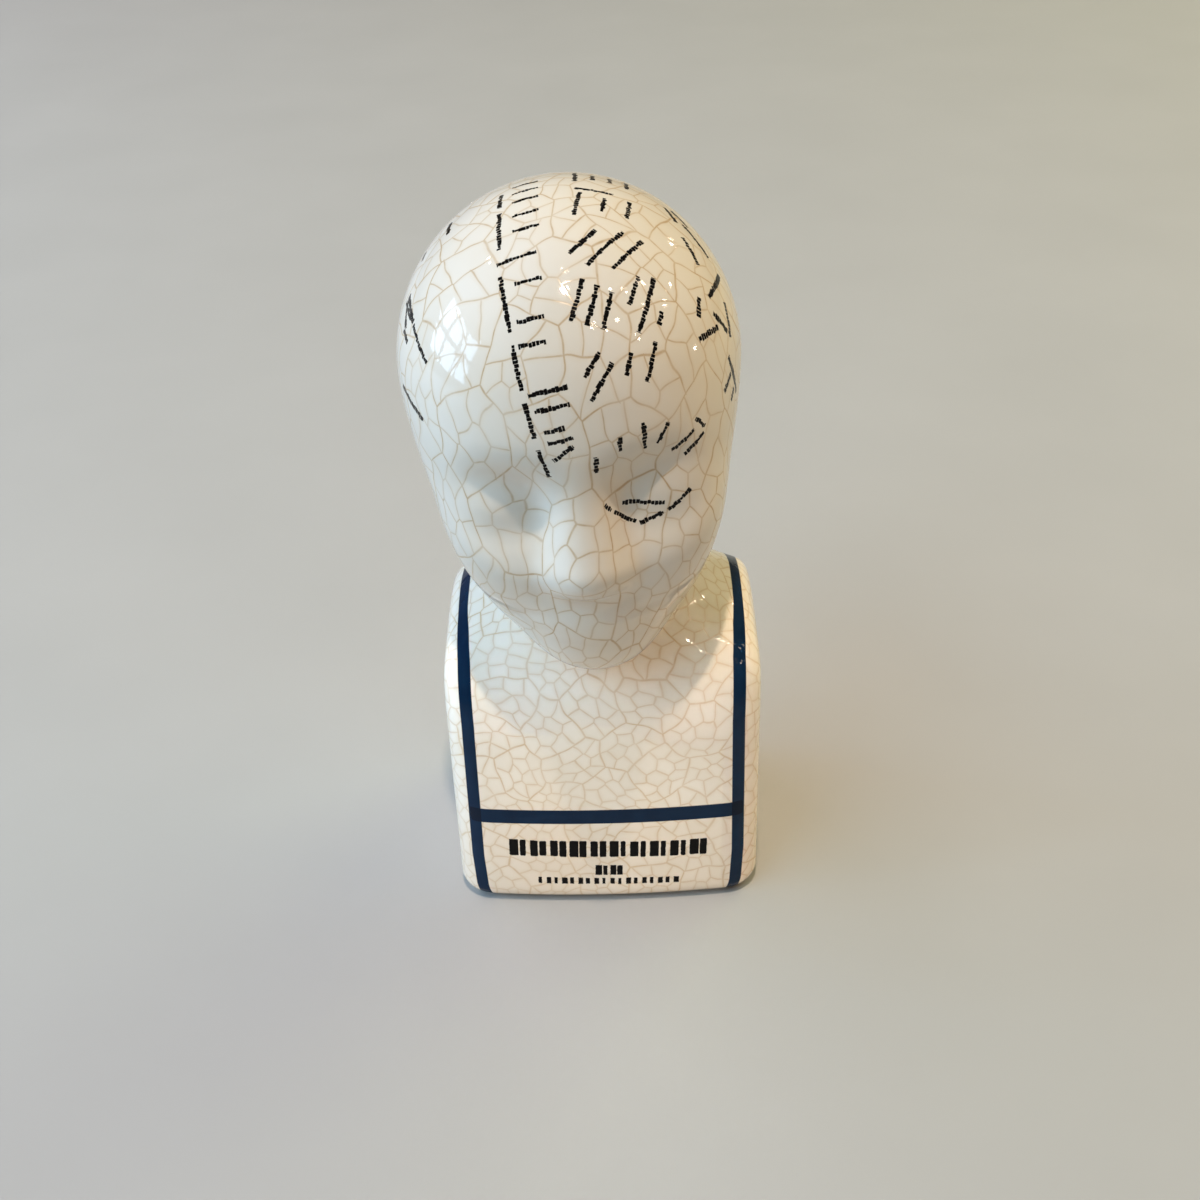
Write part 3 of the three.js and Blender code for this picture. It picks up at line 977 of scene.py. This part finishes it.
# Clay of the underside: its clouds, its grain, and the grain's darkening, roughness and relief
CLAY = (colour(0.62, 0.55, 0.44), colour(0.71, 0.65, 0.55))
CLAY_CLOUDS = (9, 4.0, 0.3, 0.7)
GRAIN = colour(0.42, 0.33, 0.23)
GRAIN_NOISE = (0.5, 6.0)
GRAIN_DARKENING = (0.6, 0.75, 0.0, 0.3)
GRAIN_ROUGHNESS = (0.2, 0.8, 0.78, 0.95)
GRAIN_DEPTH = 0.1 * MM
GRAIN_STRENGTH = 0.6


# Plain unglazed clay of the underside
def bisque_material():
    material = bpy.data.materials.new("bisque")
    tree = Tree(material)
    grain = tree.noise(*GRAIN_NOISE)
    clay = tree.mix(tree.patches(*CLAY_CLOUDS), *CLAY)
    clay = tree.mix(tree.step(grain, *GRAIN_DARKENING), clay, GRAIN)
    tree.put(clay, tree.shader.inputs["Base Color"])
    tree.put(tree.step(grain, *GRAIN_ROUGHNESS), tree.shader.inputs["Roughness"])
    tree.bump(grain, GRAIN_DEPTH, GRAIN_STRENGTH)
    return material


# The glazed bust
points = skin_points()
faces = skin_faces(len(points))
bust_object, shift = bust_piece(points, faces)
unroll(bust_object, points, faces)
rails, cross = band_distances(points)
corner_attribute(bust_object, "rail_distance", rails[faces])
corner_attribute(bust_object, "cross_distance", cross[faces])
rows = middle_column() + shown_half() + far_sides() + title_rows()
stroke_attributes(bust_object, points, faces, rows)
crackle(bust_object, points, faces)
bust_object.data.materials.append(glaze_material())
bust_object.data.materials.append(bisque_material())
flat = (points[faces][:, :, 2] == 0).all(1)
bust_object.data.polygons.foreach_set("material_index", flat.astype(int))
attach(bust_object, "root")
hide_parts("phrenology_bust")


# Floor in metres, and its plain grey
FLOOR_REACH = 2.0
FLOOR_GREY = (colour(0.37, 0.37, 0.365), colour(0.41, 0.41, 0.405))
FLOOR_NOISE = (60, 4.0)
FLOOR_ROUGHNESS = 0.6


# Plain pale floor's material
def floor_material():
    material = bpy.data.materials.new("floor")
    tree = Tree(material)
    tree.put(tree.mix(tree.noise(*FLOOR_NOISE), *FLOOR_GREY), tree.shader.inputs["Base Color"])
    tree.put(FLOOR_ROUGHNESS, tree.shader.inputs["Roughness"])
    return material


# Floor
def floor_piece():
    mesh = bpy.data.meshes.new("floor")
    corners = [(x * FLOOR_REACH, y * FLOOR_REACH, 0) for x, y in ((-1, -1), (1, -1), (1, 1), (-1, 1))]
    mesh.from_pydata(corners, [], [(0, 1, 2, 3)])
    mesh.materials.append(floor_material())
    piece = bpy.data.objects.new("floor", mesh)
    bpy.context.scene.collection.objects.link(piece)
    return piece


floor = floor_piece()

# Daylight and lamplight, and the height over the floor that all lights face, in metres
DAYLIGHT = (0.50, 0.73, 1.0)
LAMPLIGHT = (1.0, 0.80, 0.62)
LAMP_AIM = Vector((0, 0, 0.09))


# Area light facing the bust: its place is a turn from the face, a height angle and a distance
def lamp(name, place, size, power, tint, side=0.0, up=0.0):
    light = bpy.data.lights.new(name, "AREA")
    light.shape = "RECTANGLE"
    light.size, light.size_y = size
    light.energy = power
    light.color = tint
    turn, rise = radians(place[0]), radians(place[1])
    way = Vector((sin(turn) * cos(rise), -cos(turn) * cos(rise), sin(rise)))
    lamp_object = bpy.data.objects.new(name, light)
    rotation = way.to_track_quat("Z", "Y")
    lamp_object.rotation_euler = rotation.to_euler()
    lamp_object.location = LAMP_AIM + way * place[2] + rotation @ Vector((side, up, 0))
    bpy.context.scene.collection.objects.link(lamp_object)
    return lamp_object


# Window with six panes at the bust's right
WINDOW_PLACE = (-92, 15, 1.2)
PANE_SIZE = (0.2, 0.24)
PANE_GAP = 0.06
PANE_POWER = 0.95
for column_index in range(3):
    for row_index in range(2):
        side = (column_index - 1) * (PANE_SIZE[0] + PANE_GAP)
        up = (row_index - 0.5) * (PANE_SIZE[1] + PANE_GAP)
        lamp(f"window_{column_index}_{row_index}", WINDOW_PLACE, PANE_SIZE, PANE_POWER, DAYLIGHT, side, up)

# Soft light of the room, without reflections of its own: name, turn, rise, power and tint
ROOM = (
    ("left", -92, 15, 7.4, DAYLIGHT),
    ("left_low", -50, 10, 1.8, (1.0, 0.72, 0.55)),
    ("left_high", -50, 45, 9.8, (0.40, 0.74, 1.0)),
    ("back_left", -130, 30, 6.0, (0.83, 0.82, 1.0)),
    ("right_low", 90, 20, 4.4, (1.0, 0.58, 0.22)),
    ("back_right", 130, 30, 8.3, (0.96, 1.0, 0.58)),
)
ROOM_DISTANCE = 1.4
ROOM_LIGHT_SIZE = (0.9, 0.9)
for name, turn, rise, power, tint in ROOM:
    lamp(name, (turn, rise, ROOM_DISTANCE), ROOM_LIGHT_SIZE, power, tint).visible_glossy = False

# Narrow soft light from low in front, on the base
BASE_LIGHT_PLACE = (0, 12, 0.7)
BASE_LIGHT_SIZE = (0.05, 0.05)
BASE_LIGHT_POWER = 0.0050
BASE_LIGHT_TINT = (1.0, 0.85, 0.70)
BASE_LIGHT_LIFT = -0.067
BASE_LIGHT_SPREAD = 9
base_light = lamp(
    "base_light", BASE_LIGHT_PLACE, BASE_LIGHT_SIZE, BASE_LIGHT_POWER, BASE_LIGHT_TINT, up=BASE_LIGHT_LIFT
)
base_light.data.spread = radians(BASE_LIGHT_SPREAD)
base_light.visible_glossy = False

# Warm lamp overhead
OVERHEAD_PLACE = (-1, 79.5, 2.0)
OVERHEAD_SIZE = (0.065, 0.065)
OVERHEAD_POWER = 26.0
lamp("overhead", OVERHEAD_PLACE, OVERHEAD_SIZE, OVERHEAD_POWER, LAMPLIGHT)

# Small lamps that only sparkle in the glaze: turn and rise
SPARKS = (
    (30, 56), (43, 51), (57, 51), (63, 37), (77, 64), (85, 57), (84, 44), (97, 33), (100, 50),
    (99, 6), (112, 32), (140, 24), (-121, 47), (-102, 25), (-150, 87),
)
SPARK_DISTANCE = 1.1
SPARK_SIZE = (0.03, 0.03)
SPARK_POWER = 0.22
for index, (turn, rise) in enumerate(SPARKS):
    spark = lamp(f"spark_{index}", (turn, rise, SPARK_DISTANCE), SPARK_SIZE, SPARK_POWER, LAMPLIGHT)
    spark.visible_diffuse = False

# Even warm light from all round
WORLD_TINT = colour(1.0, 0.89, 0.72)
WORLD_STRENGTH = 0.15
world = bpy.data.worlds.new("studio")
world.use_nodes = True
world.node_tree.nodes["Background"].inputs["Color"].default_value = WORLD_TINT
world.node_tree.nodes["Background"].inputs["Strength"].default_value = WORLD_STRENGTH
bpy.context.scene.world = world
bpy.context.scene.view_settings.view_transform = "Standard"


# Camera at the photograph's viewing angle
def camera():
    pitch, turn, roll = radians(CAMERA_PITCH), radians(CAMERA_TURN), radians(CAMERA_ROLL)
    back = Vector((sin(turn) * cos(pitch), -cos(turn) * cos(pitch), sin(pitch)))
    right = Vector((cos(turn), sin(turn), 0))
    up = back.cross(right)
    tilted_right = right * cos(roll) + up * sin(roll)
    tilted_up = up * cos(roll) - right * sin(roll)
    data = bpy.data.cameras.new("camera")
    data.sensor_width = SENSOR
    data.lens = FOCAL_PIXELS / PICTURE_PIXELS * SENSOR
    data.clip_start = CLIP_START
    camera_object = bpy.data.objects.new("camera", data)
    place = Vector(CAMERA_TARGET) * MM + Vector(shift) + back * CAMERA_DISTANCE * MM
    axes = Matrix((tilted_right, tilted_up, back)).transposed()
    camera_object.matrix_world = Matrix.Translation(place) @ axes.to_4x4()
    bpy.context.scene.collection.objects.link(camera_object)
    bpy.context.scene.camera = camera_object


camera()
